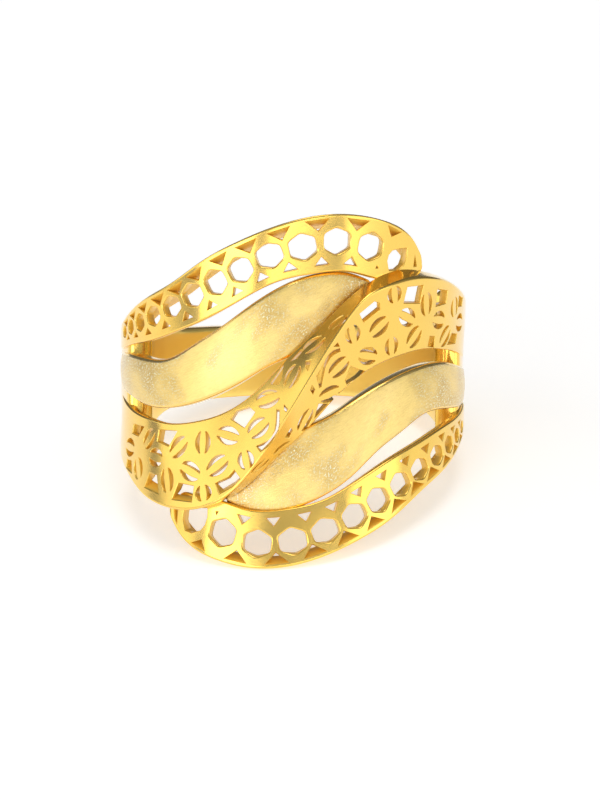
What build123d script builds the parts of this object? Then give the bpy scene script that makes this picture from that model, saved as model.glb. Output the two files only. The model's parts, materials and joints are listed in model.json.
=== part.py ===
from build123d import *
import math
import os
from typing import NamedTuple

import numpy as np

# A wide gold finger ring. Its face is five ribbons that fan out of a plain shank:
# two pierced honeycomb ribbons outside, two satin ribbons, and between them a
# flower band folded along an S-shaped crest. It is cast and soldered in one piece.
#
# It is drawn upright: the finger's axis is Z, the face looks along -Y and +X is
# to the right. Half a turn about Y lays the face on itself. The finished ring is
# then laid down as it lies by itself on a table. Lengths are in millimetres.

# Driving dimensions
BORE_DIAMETER = 18.2
SHANK_THICKNESS = 1.7
SHANK_WIDTH = 4.8
FACE_HEIGHT = 21.5
CREST_RISE = 1.4
HONEYCOMB_WALL = 0.75
SATIN_WALL = 0.9
FLOWER_WALL = 0.75
SATIN_CROWN = 0.12
SHANK_CROWN = 0.2
CELL_WIDTH = 1.5
CELL_HEIGHT = 1.8
CELL_PITCH = 2.0
RIM_EASE = 0.03  # how far the honeycomb rims' inner edges stand clear of the bore

# Worked out from them
BORE_RADIUS = BORE_DIAMETER / 2
SHANK_RADIUS = BORE_RADIUS + SHANK_THICKNESS
FACE_HALF = FACE_HEIGHT / 2
SHANK_HALF = SHANK_WIDTH / 2
RIM_LEAN = 0.22  # how far a honeycomb rim leans in, as a share of the ribbon's width
BORE_STOCK = 0.3 * SHANK_THICKNESS  # metal inside the bore, before the bore is cut
BORE_LENGTH = 2 * FACE_HEIGHT
CELL_DEPTH = 1.6 * HONEYCOMB_WALL  # how far under the shank's outside a cell's cutter starts
CUTTER_LENGTH = 4 * HONEYCOMB_WALL

# Where the row of cells starts and stops, and the steps that walk along it, in degrees
FIRST_CELL = 34.5
LAST_CELL = -66.0
WALK_STEP = 0.25

# How the lying ring is found: how far each turn is searched, in degrees, and how finely
SEARCH_REACH = 12
SEARCH_END = 1e-6
MESH_STEP = 0.01
MESH_TURN = 0.1


class Station(NamedTuple):
    """One section of a ribbon, at an angle round the finger from the face's middle.

    low and high are its edges' heights as shares of FACE_HALF. The sinks say how
    far each edge lies under the shank's outside, as shares of SHANK_THICKNESS.
    """

    angle: float
    low: float
    high: float
    low_sink: float
    high_sink: float


class Fold(NamedTuple):
    """One section of the flower band: its upper edge and its crest.

    Heights are shares of FACE_HALF. The sink is a share of SHANK_THICKNESS, and
    the rise a share of CREST_RISE. Its lower edge is the upper one turned over.
    """

    angle: float
    edge: float
    edge_sink: float
    crest: float
    crest_rise: float


class Shoulder(NamedTuple):
    """How far the left shoulder reaches past the shank's half width.

    Both are shares of what the face's half height leaves beyond that half width.
    """

    angle: float
    foot: float
    top: float


HONEYCOMB = [
    Station(-82, 0.167, 0.320, 0.14, 0.16),
    Station(-68, 0.214, 0.416, 0.05, 0.05),
    Station(-56, 0.251, 0.504, 0.06, 0.02),
    Station(-44, 0.316, 0.595, 0.08, -0.02),
    Station(-32, 0.414, 0.726, 0.10, -0.03),
    Station(-20, 0.526, 0.837, 0.12, -0.04),
    Station(-8, 0.609, 0.930, 0.13, -0.05),
    Station(4, 0.656, 0.988, 0.14, -0.05),
    Station(16, 0.665, 0.998, 0.15, -0.05),
    Station(28, 0.645, 0.960, 0.18, -0.02),
    Station(38, 0.650, 0.879, 0.20, 0.03),
    Station(46, 0.650, 0.770, 0.20, 0.10),
]

SATIN = [
    Station(-82, -0.055, 0.150, 0.06, 0.06),
    Station(-70, -0.086, 0.158, 0.03, 0.03),
    Station(-58, -0.123, 0.149, 0.04, 0.04),
    Station(-46, -0.119, 0.163, 0.06, 0.06),
    Station(-36, -0.081, 0.233, 0.08, 0.08),
    Station(-27, -0.023, 0.318, 0.10, 0.09),
    Station(-18, 0.058, 0.430, 0.13, 0.12),
    Station(-9, 0.147, 0.530, 0.18, 0.17),
    Station(0, 0.219, 0.608, 0.40, 0.25),
    Station(9, 0.353, 0.664, 0.38, 0.32),
    Station(17, 0.470, 0.662, 0.38, 0.36),
    Station(25, 0.565, 0.618, 0.38, 0.38),
]

FLOWER = [
    Fold(-92, -0.070, 0.25, -0.370, -0.25),
    Fold(-82, -0.112, 0.10, -0.447, 0.02),
    Fold(-70, -0.160, 0.08, -0.526, 0.14),
    Fold(-58, -0.191, 0.11, -0.606, 0.27),
    Fold(-46, -0.205, 0.13, -0.652, 0.43),
    Fold(-36, -0.181, 0.15, -0.656, 0.57),
    Fold(-27, -0.135, 0.17, -0.616, 0.70),
    Fold(-19, -0.060, 0.18, -0.535, 0.81),
    Fold(-12, 0.042, 0.18, -0.372, 0.91),
    Fold(-5, 0.172, 0.18, -0.163, 0.98),
    Fold(5, 0.335, 0.18, 0.163, 0.98),
    Fold(12, 0.453, 0.18, 0.372, 0.91),
    Fold(19, 0.558, 0.19, 0.526, 0.81),
    Fold(27, 0.633, 0.21, 0.593, 0.70),
    Fold(36, 0.672, 0.23, 0.624, 0.57),
    Fold(46, 0.670, 0.24, 0.616, 0.43),
    Fold(58, 0.628, 0.24, 0.576, 0.27),
    Fold(70, 0.560, 0.24, 0.506, 0.14),
    Fold(82, 0.484, 0.24, 0.434, 0.02),
    Fold(92, 0.420, 0.30, 0.360, -0.25),
]

SHOULDER = [
    Shoulder(-74, 0.385, 0.210),
    Shoulder(-90, 0.310, 0.165),
    Shoulder(-108, 0.180, 0.096),
    Shoulder(-128, 0.066, 0.034),
    Shoulder(-150, 0.012, 0.006),
    Shoulder(-180, 0.000, 0.000),
]


def on_ring(angle, radius, height):
    """The point at this angle round the finger, radius and height."""
    turn = math.radians(angle)
    return Vector(radius * math.sin(turn), -radius * math.cos(turn), height)


def loop(angle, outline):
    """The closed wire of straight edges through (radius, height) points."""
    corners = [on_ring(angle, radius, height) for radius, height in outline]
    return Wire.make_polygon(corners, close=True)


def crowned_loop(angle, outline, crown):
    """The same for four points, with an arc between the two outer ones."""
    inner_low, outer_low, outer_high, inner_high = outline
    peak = ((outer_low[0] + outer_high[0]) / 2 + crown, (outer_low[1] + outer_high[1]) / 2)
    a, b, top, c, d = (
        on_ring(angle, *point)
        for point in (inner_low, outer_low, peak, outer_high, inner_high)
    )
    edges = [
        Edge.make_line(a, b),
        Edge.make_three_point_arc(b, top, c),
        Edge.make_line(c, d),
        Edge.make_line(d, a),
    ]
    return Wire(edges)


def bent_wall(low, bend, high, wall):
    """The six corners of a bent strip, whose wall lies left of low-bend-high."""
    normals = []
    for start, end in ((low, bend), (bend, high)):
        run = (end[0] - start[0], end[1] - start[1])
        length = math.hypot(*run)
        normals.append((-run[1] / length, run[0] / length))
    first, second = normals
    mitre = wall / (1 + first[0] * second[0] + first[1] * second[1])
    inner_low = (low[0] + wall * first[0], low[1] + wall * first[1])
    inner_bend = (
        bend[0] + mitre * (first[0] + second[0]),
        bend[1] + mitre * (first[1] + second[1]),
    )
    inner_high = (high[0] + wall * second[0], high[1] + wall * second[1])
    return [low, bend, high, inner_high, inner_bend, inner_low]


def edges_of(station):
    """The outer (radius, height) points of a ribbon's two edges."""
    low = (SHANK_RADIUS - station.low_sink * SHANK_THICKNESS, station.low * FACE_HALF)
    high = (SHANK_RADIUS - station.high_sink * SHANK_THICKNESS, station.high * FACE_HALF)
    return low, high


def honeycomb_plate():
    """The upper honeycomb ribbon, not yet pierced, with its leaning outer rim."""
    loops = []
    for station in HONEYCOMB:
        low, high = edges_of(station)
        rim = (BORE_RADIUS - BORE_STOCK, high[1] - RIM_LEAN * (high[1] - low[1]))
        loops.append(loop(station.angle, bent_wall(low, high, rim, HONEYCOMB_WALL)))
    return Solid.make_loft(loops) - Cylinder(BORE_RADIUS + RIM_EASE, BORE_LENGTH)


def middle_of_honeycomb(angle):
    """Radius and height of the honeycomb plate's middle line at an angle."""
    angles = [station.angle for station in HONEYCOMB]
    middles = [np.mean(edges_of(station), axis=0) for station in HONEYCOMB]
    radii, heights = zip(*middles)
    return float(np.interp(angle, angles, radii)), float(np.interp(angle, angles, heights))


def honeycomb_cells():
    """Six-sided cutters a pitch apart along the honeycomb's middle line."""
    half_width, half_height = CELL_WIDTH / 2, CELL_HEIGHT / 2
    shape = [
        (0, half_height),
        (half_width, half_height / 2),
        (half_width, -half_height / 2),
        (0, -half_height),
        (-half_width, -half_height / 2),
        (-half_width, half_height / 2),
    ]
    cells = []
    angle, walked = FIRST_CELL, CELL_PITCH
    spot = on_ring(angle, *middle_of_honeycomb(angle))
    while angle > LAST_CELL:
        if walked >= CELL_PITCH:
            ahead = on_ring(angle - WALK_STEP, *middle_of_honeycomb(angle - WALK_STEP))
            outward = on_ring(angle, 1, 0)
            floor = on_ring(angle, SHANK_RADIUS - CELL_DEPTH, spot.Z)
            plane = Plane(origin=floor, x_dir=(spot - ahead).normalized(), z_dir=outward)
            face = Face(Wire.make_polygon([plane.from_local_coords(p) for p in shape]))
            cells.append(extrude(face, CUTTER_LENGTH, dir=outward))
            walked = 0.0
        angle -= WALK_STEP
        following = on_ring(angle, *middle_of_honeycomb(angle))
        walked += (following - spot).length
        spot = following
    return cells


def satin_ribbon():
    """The upper satin ribbon, gently crowned across its width."""
    loops = []
    for station in SATIN:
        low, high = edges_of(station)
        outline = [(low[0] - SATIN_WALL, low[1]), low, high, (high[0] - SATIN_WALL, high[1])]
        loops.append(crowned_loop(station.angle, outline, SATIN_CROWN))
    return Solid.make_loft(loops)


def flower_band():
    """The folded middle band, whose crest runs from lower left to upper right."""
    loops = []
    for fold, turned in zip(FLOWER, reversed(FLOWER)):
        upper = (SHANK_RADIUS - fold.edge_sink * SHANK_THICKNESS, fold.edge * FACE_HALF)
        lower = (SHANK_RADIUS - turned.edge_sink * SHANK_THICKNESS, -turned.edge * FACE_HALF)
        crest = (SHANK_RADIUS + fold.crest_rise * CREST_RISE, fold.crest * FACE_HALF)
        loops.append(loop(fold.angle, bent_wall(lower, crest, upper, FLOWER_WALL)))
    return Solid.make_loft(loops)


def shank():
    """The plain band round the back, widening into the two shoulders."""
    reach = FACE_HALF - SHANK_HALF
    rows = [
        (row.angle, -SHANK_HALF - row.foot * reach, SHANK_HALF + row.top * reach)
        for row in SHOULDER
    ]
    rows += [(-360 - angle, -high, -low) for angle, low, high in reversed(rows[:-1])]
    loops = []
    for angle, low, high in rows:
        inside, outside = BORE_RADIUS - BORE_STOCK, SHANK_RADIUS - SHANK_CROWN
        outline = [(inside, low), (outside, low), (outside, high), (inside, high)]
        loops.append(crowned_loop(angle, outline, SHANK_CROWN))
    return Solid.make_loft(loops)


def turned_over(shape):
    """The shape after half a turn about the line of sight to the face."""
    return Rot(0, 180, 0) * shape


def upright_ring():
    """The whole ring standing with its finger axis along Z."""
    honeycomb = honeycomb_plate()
    for cell in honeycomb_cells():
        honeycomb = honeycomb - cell
    satin = satin_ribbon()
    ring = shank() + flower_band()
    for ribbon in (satin, honeycomb):
        ring = ring + ribbon + turned_over(ribbon)
    return ring - Cylinder(BORE_RADIUS, BORE_LENGTH)


def lying_angles(ring):
    """Turns about X and Y, in degrees, that bring the centre of mass lowest."""
    points = np.array([tuple(point) for point in ring.tessellate(MESH_STEP, MESH_TURN)[0]])
    points = points - np.array(tuple(ring.center()))

    def drop(tilt, roll):
        across = points[:, 2] * math.cos(roll) - points[:, 0] * math.sin(roll)
        return -np.min(points[:, 1] * math.sin(tilt) + across * math.cos(tilt))

    def lowest(height_at, low, high):
        while high - low > SEARCH_END:
            third = (high - low) / 3
            if height_at(low + third) < height_at(high - third):
                high -= third
            else:
                low += third
        return (low + high) / 2

    guess = math.atan2(SHANK_HALF - FACE_HALF, 2 * SHANK_RADIUS)
    reach = math.radians(SEARCH_REACH)

    def best_tilt(roll):
        return lowest(lambda tilt: drop(tilt, roll), guess - reach, guess + reach)

    roll = lowest(lambda turn: drop(best_tilt(turn), turn), -reach, reach)
    return math.degrees(best_tilt(roll)), math.degrees(roll)


def main():
    os.makedirs("parts", exist_ok=True)
    ring = upright_ring()
    print("solids", len(ring.solids()), "volume", ring.volume)
    tilt, roll = lying_angles(ring)
    laid = Rot(tilt, 0, 0) * Rot(0, roll, 0)
    box = (laid * ring).bounding_box()
    laid = Pos(-box.center().X, -box.center().Y, -box.min.Z) * laid
    lying = laid * ring
    lying.label = "ring"
    export_step(lying, "parts/ring.step")
    print("tilt", round(tilt, 4), "roll", round(roll, 4))
    bore = laid * Plane.XY
    print("bore centre", bore.origin, "bore axis", bore.z_dir)
    print("box", lying.bounding_box())


main()
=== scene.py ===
import json
import logging
import math
from dataclasses import dataclass
from enum import Enum
from typing import Iterable, NamedTuple, Sequence

import bpy
import numpy as np
from mathutils import Matrix, Vector


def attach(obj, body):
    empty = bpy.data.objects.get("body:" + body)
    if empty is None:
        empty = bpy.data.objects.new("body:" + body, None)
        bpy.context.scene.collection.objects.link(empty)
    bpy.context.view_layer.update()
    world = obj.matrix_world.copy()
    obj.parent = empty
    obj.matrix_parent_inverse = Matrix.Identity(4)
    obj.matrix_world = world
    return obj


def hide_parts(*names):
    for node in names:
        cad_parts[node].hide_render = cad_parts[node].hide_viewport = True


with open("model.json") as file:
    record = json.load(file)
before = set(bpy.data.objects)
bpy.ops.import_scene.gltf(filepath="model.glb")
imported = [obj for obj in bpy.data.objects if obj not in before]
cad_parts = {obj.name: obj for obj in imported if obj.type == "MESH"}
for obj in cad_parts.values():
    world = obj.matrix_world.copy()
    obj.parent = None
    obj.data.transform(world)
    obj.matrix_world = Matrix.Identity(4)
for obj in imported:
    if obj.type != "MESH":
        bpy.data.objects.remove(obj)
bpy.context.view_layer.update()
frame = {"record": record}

# A wide gold finger ring, lying on its side. It is drawn upright in millimetres,
# with the finger's axis along Z and the face looking along -Y, and each mesh is
# then laid where the ring rests. Angles go round the finger from the face's middle.

MM = 0.001
BODY = "root"
CAD_NODE = "ring"

log = logging.getLogger("ring")
Array = np.ndarray
Color = tuple[float, float, float, float]
Socket = bpy.types.NodeSocket


class Side(Enum):
    """Which of two matching ribbons a mesh is: the drawn one, or its half turn."""

    UPPER = 1
    LOWER = -1


@dataclass(frozen=True)
class RingSizes:
    """The driving sizes of the ring, in millimetres."""

    shank_thickness: float = 1.7
    shank_width: float = 4.8
    face_height: float = 21.5
    crest_rise: float = 1.4
    honeycomb_wall: float = 0.75
    satin_wall: float = 0.9
    flower_wall: float = 0.75
    bore_radius: float = frame["record"]["mounts"][0]["dims"]["r_mm"]

    @property
    def shank_radius(self) -> float:
        """The shank's outer radius."""
        return self.bore_radius + self.shank_thickness

    @property
    def face_half(self) -> float:
        """Half the face's height."""
        return self.face_height / 2


SIZES = RingSizes()


class Resting:
    """Where the upright ring lies at rest, read from the finger's bore."""

    def __init__(self, record: dict) -> None:
        """Works out the two turns and the shift that lay the ring down.

        Args:
            record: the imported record, whose first mount is the finger's bore.
        """
        bore = record["mounts"][0]
        axis_x, axis_y, axis_z = bore["axis"]
        tilt = Matrix.Rotation(math.atan2(-axis_y, axis_z), 4, "X")
        roll = Matrix.Rotation(math.asin(axis_x), 4, "Y")
        self.matrix: Matrix = Matrix.Translation(bore["pos_m"]) @ tilt @ roll

    def lay(self, points: Array) -> Array:
        """Upright points in millimetres, laid down in metres.

        Args:
            points: an (n, 3) array.

        Returns:
            The (n, 3) array of places at rest.
        """
        turn = np.array(self.matrix.to_3x3())
        return points @ turn.T * MM + np.array(self.matrix.translation)

    def turn(self, directions: Array) -> Array:
        """Upright directions, turned as the resting ring is."""
        return directions @ np.array(self.matrix.to_3x3()).T


RESTING = Resting(frame["record"])


class SmoothTable:
    """Natural cubic curves through a table's rows."""

    def __init__(self, at: Sequence[float], rows: Array) -> None:
        """Works out the curves' second derivatives.

        Args:
            at: the rows' places, rising.
            rows: one row of values for each place.
        """
        self.at = np.asarray(at, float)
        self.rows = np.asarray(rows, float)
        gap = np.diff(self.at)
        count = len(self.at)
        system = np.eye(count)
        right = np.zeros_like(self.rows)
        for i in range(1, count - 1):
            system[i, i - 1 : i + 2] = gap[i - 1], 2 * (gap[i - 1] + gap[i]), gap[i]
            rise = (self.rows[i + 1] - self.rows[i]) / gap[i]
            right[i] = 6 * (rise - (self.rows[i] - self.rows[i - 1]) / gap[i - 1])
        self.bend = np.linalg.solve(system, right)

    def __call__(self, places: Array) -> Array:
        """The curves' values.

        Args:
            places: one place or more.

        Returns:
            The rows at these places, as an (n, columns) array.
        """
        places = np.clip(np.atleast_1d(places), self.at[0], self.at[-1])
        i = np.clip(np.searchsorted(self.at, places, side="right") - 1, 0, len(self.at) - 2)
        gap = (self.at[i + 1] - self.at[i])[:, None]
        before = (places - self.at[i])[:, None] / gap
        after = 1 - before
        line = after * self.rows[i] + before * self.rows[i + 1]
        curve = (after**3 - after) * self.bend[i] + (before**3 - before) * self.bend[i + 1]
        return line + curve * gap**2 / 6


class Station(NamedTuple):
    """One section of a ribbon: its edges as shares of the face's half height, and
    how far each lies under the shank's outside as shares of the shank's thickness."""

    angle: float
    low: float
    high: float
    low_sink: float
    high_sink: float


class Fold(NamedTuple):
    """One section of the flower band: its upper edge and its crest, in the same
    shares, with the crest's rise as a share of the highest one."""

    angle: float
    edge: float
    edge_sink: float
    crest: float
    crest_rise: float


class Shoulder(NamedTuple):
    """How far the left shoulder reaches past the shank's half width, and how far
    its outside lies under the shank's, as a share of the shank's thickness."""

    angle: float
    foot: float
    top: float
    drop: float


class PetalPlace(NamedTuple):
    """A petal of the flower band, from end to end of its slots in the band's chart."""

    x0: float
    y0: float
    x1: float
    y1: float
    breadth: float = 1.0


class Cell(NamedTuple):
    """A honeycomb cell: its place round the finger and across the ribbon, and the
    strut between it and the next."""

    angle: float
    share: float
    strut: float


HONEYCOMB_STATIONS = (
    Station(-104, 0.120, 0.215, 0.42, 0.42),
    Station(-95, 0.138, 0.250, 0.24, 0.25),
    Station(-88, 0.152, 0.285, 0.09, 0.10),
    Station(-80, 0.174, 0.330, 0.03, 0.03),
    Station(-68, 0.214, 0.424, 0.03, 0.02),
    Station(-56, 0.251, 0.514, 0.05, 0.00),
    Station(-44, 0.314, 0.607, 0.08, -0.02),
    Station(-32, 0.394, 0.737, 0.10, -0.03),
    Station(-20, 0.501, 0.845, 0.12, -0.04),
    Station(-8, 0.607, 0.932, 0.13, -0.05),
    Station(4, 0.656, 0.988, 0.14, -0.05),
    Station(16, 0.665, 0.998, 0.15, -0.05),
    Station(28, 0.615, 0.960, 0.18, -0.02),
    Station(38, 0.595, 0.883, 0.20, 0.02),
    Station(42.2, 0.605, 0.817, 0.20, 0.05),
    Station(44.4, 0.644, 0.767, 0.20, 0.07),
    Station(45.4, 0.644, 0.724, 0.20, 0.08),
    Station(45.8, 0.644, 0.684, 0.20, 0.09),
)

SATIN_STATIONS = (
    Station(-104, -0.020, 0.110, 0.44, 0.44),
    Station(-95, -0.036, 0.130, 0.25, 0.25),
    Station(-88, -0.047, 0.142, 0.14, 0.14),
    Station(-80, -0.061, 0.151, 0.07, 0.07),
    Station(-70, -0.086, 0.158, 0.02, 0.02),
    Station(-58, -0.123, 0.149, 0.04, 0.04),
    Station(-46, -0.119, 0.168, 0.06, 0.06),
    Station(-36, -0.081, 0.256, 0.08, 0.08),
    Station(-27, -0.023, 0.350, 0.10, 0.09),
    Station(-18, 0.058, 0.461, 0.13, 0.12),
    Station(-9, 0.147, 0.562, 0.18, 0.17),
    Station(0, 0.219, 0.630, 0.36, 0.25),
    Station(9, 0.353, 0.664, 0.38, 0.32),
    Station(17, 0.470, 0.662, 0.38, 0.36),
    Station(25, 0.565, 0.618, 0.38, 0.38),
)

FLOWER_FOLDS = (
    Fold(-104, -0.030, 0.55, -0.290, -0.72),
    Fold(-95, -0.058, 0.26, -0.350, -0.26),
    Fold(-88, -0.086, 0.13, -0.402, -0.06),
    Fold(-80, -0.119, 0.08, -0.461, 0.04),
    Fold(-70, -0.160, 0.08, -0.530, 0.14),
    Fold(-58, -0.191, 0.11, -0.624, 0.27),
    Fold(-46, -0.205, 0.13, -0.675, 0.43),
    Fold(-36, -0.181, 0.15, -0.678, 0.57),
    Fold(-27, -0.135, 0.17, -0.636, 0.70),
    Fold(-19, -0.060, 0.18, -0.535, 0.81),
    Fold(-12, 0.042, 0.18, -0.372, 0.91),
    Fold(-5, 0.172, 0.18, -0.163, 0.98),
    Fold(5, 0.335, 0.18, 0.163, 0.98),
    Fold(12, 0.453, 0.18, 0.372, 0.91),
    Fold(19, 0.558, 0.19, 0.526, 0.81),
    Fold(27, 0.633, 0.21, 0.593, 0.70),
    Fold(36, 0.672, 0.23, 0.624, 0.57),
    Fold(46, 0.655, 0.24, 0.618, 0.43),
    Fold(58, 0.608, 0.24, 0.574, 0.27),
    Fold(70, 0.546, 0.22, 0.506, 0.14),
    Fold(80, 0.490, 0.20, 0.446, 0.04),
    Fold(88, 0.436, 0.20, 0.385, -0.06),
    Fold(95, 0.400, 0.30, 0.338, -0.26),
    Fold(104, 0.340, 0.60, 0.278, -0.72),
)

SHOULDERS = (
    Shoulder(-74, 0.385, 0.210, 0.14),
    Shoulder(-82, 0.350, 0.190, 0.12),
    Shoulder(-90, 0.310, 0.165, 0.09),
    Shoulder(-100, 0.247, 0.131, 0.04),
    Shoulder(-110, 0.150, 0.080, 0.01),
    Shoulder(-128, 0.045, 0.024, 0.00),
    Shoulder(-150, 0.012, 0.006, 0.00),
    Shoulder(-180, 0.000, 0.000, 0.00),
)

LEFT_PETALS = (
    PetalPlace(-8.79, -4.03, -7.71, -3.02),
    PetalPlace(-6.29, -3.73, -6.40, -2.43),
    PetalPlace(-5.27, -2.41, -3.81, -2.66),
    PetalPlace(-3.00, -2.44, -1.97, -1.50),
    PetalPlace(-7.82, -4.65, -6.40, -5.14),
    PetalPlace(-5.69, -4.87, -4.52, -3.93),
    PetalPlace(-3.33, -3.45, -3.01, -4.48, 0.95),
    PetalPlace(-9.14, -4.92, -8.72, -6.28),
    PetalPlace(-6.03, -5.69, -5.81, -6.58, 1.05),
    PetalPlace(-10.88, -4.26, -9.66, -4.42),
    PetalPlace(-12.37, -4.63, -11.88, -5.78),
    PetalPlace(-11.56, -3.78, -10.73, -2.78, 0.90),
    PetalPlace(-14.30, -4.00, -12.95, -4.10),
    PetalPlace(-2.64, -0.44, -1.30, 0.11),
    PetalPlace(-0.75, 0.60, -0.12, 1.94, 0.72),
    PetalPlace(0.32, 2.85, 1.42, 3.78, 0.66),
    PetalPlace(1.90, 4.25, 2.70, 4.97, 0.55),
)

RIGHT_PETALS = (
    PetalPlace(5.80, 6.26, 6.07, 5.29, 0.95),
    PetalPlace(4.56, 3.31, 5.62, 4.22),
    PetalPlace(3.03, 3.95, 3.37, 2.92, 0.95),
    PetalPlace(3.84, 2.04, 5.16, 1.84),
    PetalPlace(6.16, 3.01, 6.39, 1.98, 0.95),
    PetalPlace(7.71, 2.46, 8.57, 3.52),
    PetalPlace(6.64, 4.53, 7.88, 3.99),
    PetalPlace(8.67, 5.66, 9.05, 4.35),
    PetalPlace(9.81, 4.01, 11.10, 3.84),
    PetalPlace(11.05, 2.35, 12.00, 3.35, 0.90),
    PetalPlace(12.25, 5.15, 12.60, 4.05),
    PetalPlace(13.10, 3.60, 14.40, 3.50),
    PetalPlace(1.91, 0.87, 2.97, 1.83),
    PetalPlace(1.31, -0.64, 2.62, -0.13, 0.92),
    PetalPlace(0.05, -2.72, 0.71, -1.28, 0.66),
    PetalPlace(-1.46, -4.40, -0.52, -3.58, 0.66),
    PetalPlace(-2.75, -5.15, -1.95, -4.45, 0.55),
)

FLOWER_WINDOWS = (
    ((-4.42, -1.54), (-4.11, -1.03), (-3.21, -0.71), (-2.77, -1.02), (-3.42, -2.00)),
    ((-5.12, -5.47), (-4.27, -5.06), (-3.90, -4.61), (-3.45, -5.14), (-3.94, -5.65), (-4.77, -6.12)),
    ((-7.91, -5.69), (-8.30, -6.72), (-6.72, -6.74), (-6.69, -5.77)),
    ((-10.18, -2.66), (-10.25, -3.34), (-9.15, -3.55), (-8.51, -2.57)),
    ((-10.72, -5.35), (-11.12, -6.25), (-9.56, -6.52), (-9.97, -5.40)),
    ((-13.25, -2.60), (-13.40, -3.15), (-12.45, -3.25), (-11.85, -2.62)),
    ((-13.95, -4.85), (-14.05, -5.35), (-12.95, -5.60), (-13.20, -4.85)),
    ((-1.33, -0.83), (-1.18, -0.87), (-1.18, -1.75), (-1.26, -2.27), (-1.50, -2.81), (-1.80, -3.12),
     (-2.24, -3.42), (-2.52, -3.09), (-1.93, -2.84), (-1.63, -2.60), (-1.41, -2.17), (-1.34, -1.61)),
    ((-0.90, -0.53), (-0.92, -0.82), (-0.79, -0.98), (-0.71, -0.83)),
    ((-1.85, 0.75), (-1.28, 1.58), (-0.97, 2.10), (-1.14, 1.15), (-1.32, 0.77)),
    ((-0.58, 2.21), (0.12, 2.98), (0.24, 2.98), (-0.14, 2.44)),
    ((0.38, 2.21), (0.66, 2.25), (0.46, 1.51), (0.37, 1.80)),
    ((3.30, 1.36), (3.86, 1.11), (4.37, 0.98), (3.89, 0.56), (3.15, 0.17), (3.00, 0.44)),
    ((3.54, 4.70), (4.51, 5.42), (4.89, 5.30), (4.99, 4.88), (3.90, 4.12)),
    ((6.77, 5.19), (6.91, 6.18), (8.31, 6.22), (8.19, 5.11)),
    ((9.63, 2.33), (9.69, 2.96), (10.24, 2.92), (10.31, 2.23)),
    ((9.87, 4.82), (9.81, 5.90), (11.10, 5.70), (11.06, 4.93)),
    ((2.37, 2.60), (1.90, 2.51), (1.59, 2.24), (1.34, 1.68), (0.97, 1.02), (1.19, 0.14),
     (1.32, 0.18), (1.40, 0.92), (1.51, 1.58), (1.77, 2.07), (2.06, 2.28), (2.42, 2.39)),
    ((2.19, 2.99), (1.94, 2.80), (2.32, 2.74)),
    ((0.69, 0.46), (0.62, 0.12), (0.79, -0.24), (0.90, 0.06)),
    ((-0.88, -3.08), (-0.51, -2.40), (-0.42, -2.65), (-0.64, -3.17)),
    ((0.14, -3.44), (0.60, -2.54), (0.36, -2.52)),
    ((1.86, -1.04), (1.22, -0.98), (0.98, -1.96)),
    ((13.25, 2.30), (13.40, 2.85), (12.45, 2.95), (11.95, 2.30)),
    ((13.95, 4.55), (14.05, 5.05), (13.05, 5.30), (13.10, 4.55)),
)

HONEYCOMB_CELLS = {
    Side.UPPER: (
        Cell(24.1, 0.51, 0.60),
        Cell(12.4, 0.52, 0.54),
        Cell(1.2, 0.49, 0.42),
        Cell(-9.6, 0.51, 0.40),
        Cell(-19.1, 0.50, 0.40),
        Cell(-27.7, 0.51, 0.40),
        Cell(-36.3, 0.51, 0.40),
        Cell(-45.2, 0.52, 0.40),
        Cell(-54.3, 0.51, 0.42),
        Cell(-62.3, 0.50, 0.44),
        Cell(-69.4, 0.51, 0.46),
        Cell(-75.8, 0.51, 0.46),
    ),
    Side.LOWER: (
        Cell(25.6, 0.51, 0.60),
        Cell(13.7, 0.56, 0.50),
        Cell(2.1, 0.57, 0.42),
        Cell(-8.6, 0.55, 0.40),
        Cell(-18.4, 0.55, 0.40),
        Cell(-26.9, 0.53, 0.40),
        Cell(-35.6, 0.53, 0.40),
        Cell(-44.2, 0.53, 0.40),
        Cell(-53.3, 0.52, 0.42),
        Cell(-61.4, 0.51, 0.44),
        Cell(-68.6, 0.51, 0.46),
        Cell(-75.0, 0.51, 0.46),
    ),
}

END_OPENINGS = {
    Side.UPPER: (
        ((7.18, 8.46), (6.55, 8.43), (6.06, 8.34), (5.80, 8.06), (5.73, 7.73), (5.88, 7.16),
         (6.56, 7.16), (6.98, 7.42), (7.13, 7.78)),
        ((7.85, 8.05), (7.84, 7.32), (8.07, 7.32)),
        ((4.98, 7.50), (4.92, 7.34), (5.06, 7.34)),
    ),
    Side.LOWER: (
        ((7.58, 7.30), (7.62, 8.00), (7.40, 8.64), (6.90, 8.74), (6.31, 8.56), (6.02, 8.20),
         (5.87, 7.73), (5.88, 7.20)),
        ((8.44, 7.36), (8.14, 7.36), (8.08, 8.34), (8.28, 8.00)),
        ((5.20, 7.56), (5.08, 7.36), (5.24, 7.36)),
    ),
}


def corner_at(sink: float, share: float) -> tuple[float, float]:
    """The radius and height of an edge, from its shares in a table's row."""
    return SIZES.shank_radius - sink * SIZES.shank_thickness, share * SIZES.face_half


def on_ring(angles: Array, radii: Array, heights: Array) -> Array:
    """Upright points round the finger.

    Args:
        angles: degrees from the face's middle, to the right.
        radii: distances from the finger's axis.
        heights: heights along it.

    Returns:
        An (n, 3) array of points.
    """
    turn = np.radians(angles)
    return np.column_stack([radii * np.sin(turn), -radii * np.cos(turn), heights])


def half_turned(points: Array) -> Array:
    """Points or directions after half a turn about the line of sight to the face."""
    return points * np.array([-1.0, 1.0, -1.0])


def unit(vectors: Array) -> Array:
    """The same vectors, each one long."""
    return vectors / np.maximum(np.linalg.norm(vectors, axis=1, keepdims=True), 1e-12)


def link(name: str, data: bpy.types.ID) -> bpy.types.Object:
    """A new object that is part of the scene.

    Args:
        name: the object's name.
        data: the mesh, lamp or camera that it holds.

    Returns:
        The object.
    """
    thing = bpy.data.objects.new(name, data)
    bpy.context.scene.collection.objects.link(thing)
    return thing


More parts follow.
